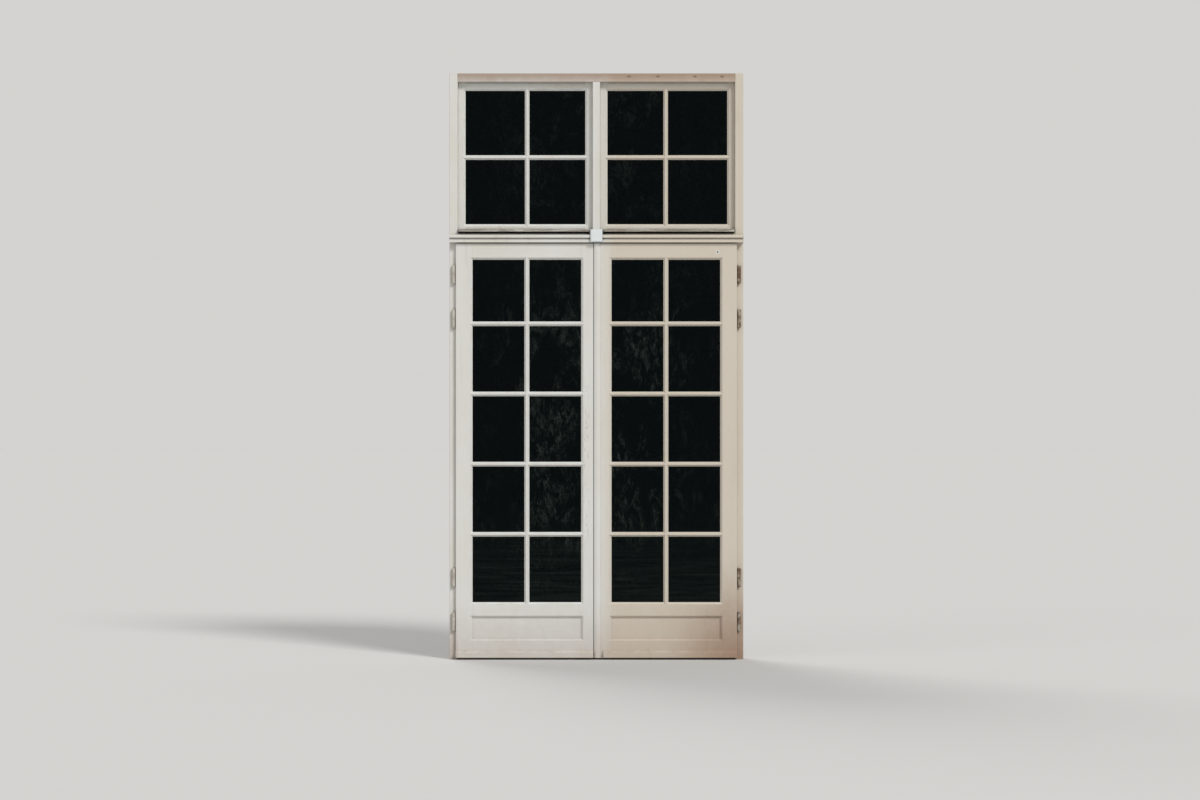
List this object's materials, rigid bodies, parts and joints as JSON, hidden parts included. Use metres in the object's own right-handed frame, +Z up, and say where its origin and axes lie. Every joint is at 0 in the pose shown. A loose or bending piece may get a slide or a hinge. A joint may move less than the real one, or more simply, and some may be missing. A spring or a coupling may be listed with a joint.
{
  "type": "french door with transom lights",
  "caption": "Tall glazed French door in a painted timber frame: a pair of outward-opening leaves with glazing bars and low panels, under a moulded transom bar with a pair of top lights.",
  "frame": {"origin": "middle of the threshold's underside: centre of the frame's width and of its depth", "axes": "+X to the right seen from outside, +Y into the room, +Z up"},
  "size_m": [1.53, 0.1615, 3.05],
  "materials": {
    "white_paint": "aged white oil paint on wood, satin",
    "block_paint": "cool white paint on wood, satin",
    "threshold_wood": "worn grey-white paint on hardwood, matt",
    "putty": "painted glazing putty, satin",
    "glass": null,
    "hinge_paint": "white paint brushed over steel, satin",
    "bolt_case": "white paint over cast iron, satin",
    "bolt_steel": "bare drawn steel, worn",
    "gear_iron": "oiled iron",
    "brass": "aged brass, handled"
  },
  "bodies": {
    "frame": {"left_jamb": "white_paint", "right_jamb": "white_paint", "head": "white_paint", "transom_bar": "white_paint", "mullion": "white_paint", "transom_block": "block_paint", "threshold": "threshold_wood", "keepers": "bolt_steel", "frame_hinge_halves": "hinge_paint"},
    "lower_turn_button": {"lower_turn_button": "brass"},
    "upper_turn_button": {"upper_turn_button": "brass"},
    "left_leaf": {"left_hinge_stile": "white_paint", "left_meeting_stile": "white_paint", "left_bottom_rail": "white_paint", "left_lock_rail": "white_paint", "left_top_rail": "white_paint", "left_panel": "white_paint", "left_glazing_bars": "white_paint", "left_panes": "glass", "left_putty": "putty", "left_hinge_halves": "hinge_paint", "left_weather_board": "white_paint", "bolt_plates": "bolt_case"},
    "top_bolt": {"top_bolt": "bolt_steel"},
    "bottom_bolt": {"bottom_bolt": "bolt_steel"},
    "right_leaf": {"right_hinge_stile": "white_paint", "right_meeting_stile": "white_paint", "right_bottom_rail": "white_paint", "right_lock_rail": "white_paint", "right_top_rail": "white_paint", "right_panel": "white_paint", "right_glazing_bars": "white_paint", "right_panes": "glass", "right_putty": "putty", "right_hinge_halves": "hinge_paint", "right_weather_board": "white_paint", "astragal": "white_paint", "rod_guides": "bolt_case", "cremone_base": "bolt_case", "cremone_cover": "bolt_case"},
    "cremone_handle": {"cremone_pinion": "gear_iron", "cremone_knob": "brass"},
    "upper_rod": {"upper_rod": "bolt_steel"},
    "lower_rod": {"lower_rod": "bolt_steel"},
    "left_sash": {"left_sash_hinge_stile": "white_paint", "left_sash_mullion_stile": "white_paint", "left_sash_top_rail": "white_paint", "left_sash_bottom_rail": "white_paint", "left_sash_glazing_bars": "white_paint", "left_sash_panes": "glass", "left_sash_putty": "putty", "left_sash_hinge_halves": "hinge_paint"},
    "right_sash": {"right_sash_hinge_stile": "white_paint", "right_sash_mullion_stile": "white_paint", "right_sash_top_rail": "white_paint", "right_sash_bottom_rail": "white_paint", "right_sash_glazing_bars": "white_paint", "right_sash_panes": "glass", "right_sash_putty": "putty", "right_sash_hinge_halves": "hinge_paint"}
  },
  "joints": [
    {"name": "right_leaf_swing", "type": "hinge", "parent": "frame", "child": "right_leaf", "pos_m": [0.742, -0.052, 1.099], "axis": [0, 0, 1], "range_deg": [0, 90]},
    {"name": "left_leaf_swing", "type": "hinge", "parent": "frame", "child": "left_leaf", "pos_m": [-0.742, -0.052, 1.099], "axis": [0, 0, -1], "range_deg": [0, 90]},
    {"name": "right_sash_swing", "type": "hinge", "parent": "frame", "child": "right_sash", "pos_m": [0.7325, 0.046, 2.612], "axis": [0, 0, -1], "range_deg": [0, 90]},
    {"name": "left_sash_swing", "type": "hinge", "parent": "frame", "child": "left_sash", "pos_m": [-0.7325, 0.046, 2.612], "axis": [0, 0, 1], "range_deg": [0, 90]},
    {"name": "cremone_turn", "type": "hinge", "parent": "right_leaf", "child": "cremone_handle", "pos_m": [0.03, 0.004, 1.05], "axis": [0, -1, 0], "range_deg": [0, 90]},
    {"name": "upper_rod_slide", "type": "slide", "parent": "right_leaf", "child": "upper_rod", "axis": [0, 0, 1], "range_m": [0, 0.01885]},
    {"name": "lower_rod_slide", "type": "slide", "parent": "right_leaf", "child": "lower_rod", "axis": [0, 0, -1], "range_m": [0, 0.01885]},
    {"name": "top_bolt_slide", "type": "slide", "parent": "left_leaf", "child": "top_bolt", "axis": [0, 0, 1], "range_m": [0, 0.02]},
    {"name": "bottom_bolt_slide", "type": "slide", "parent": "left_leaf", "child": "bottom_bolt", "axis": [0, 0, -1], "range_m": [0, 0.02]},
    {"name": "lower_button_turn", "type": "hinge", "parent": "frame", "child": "lower_turn_button", "pos_m": [0, 0.0405, 2.414], "axis": [0, 1, 0], "range_deg": [0, 90]},
    {"name": "upper_button_turn", "type": "hinge", "parent": "frame", "child": "upper_turn_button", "pos_m": [0, 0.0405, 2.81], "axis": [0, 1, 0], "range_deg": [0, 90]}
  ],
  "couplings": [
    {"joint": "cremone_turn", "follows": "upper_rod_slide", "rad_per_m": 83.331},
    {"joint": "lower_rod_slide", "follows": "upper_rod_slide", "ratio": 1}
  ]
}
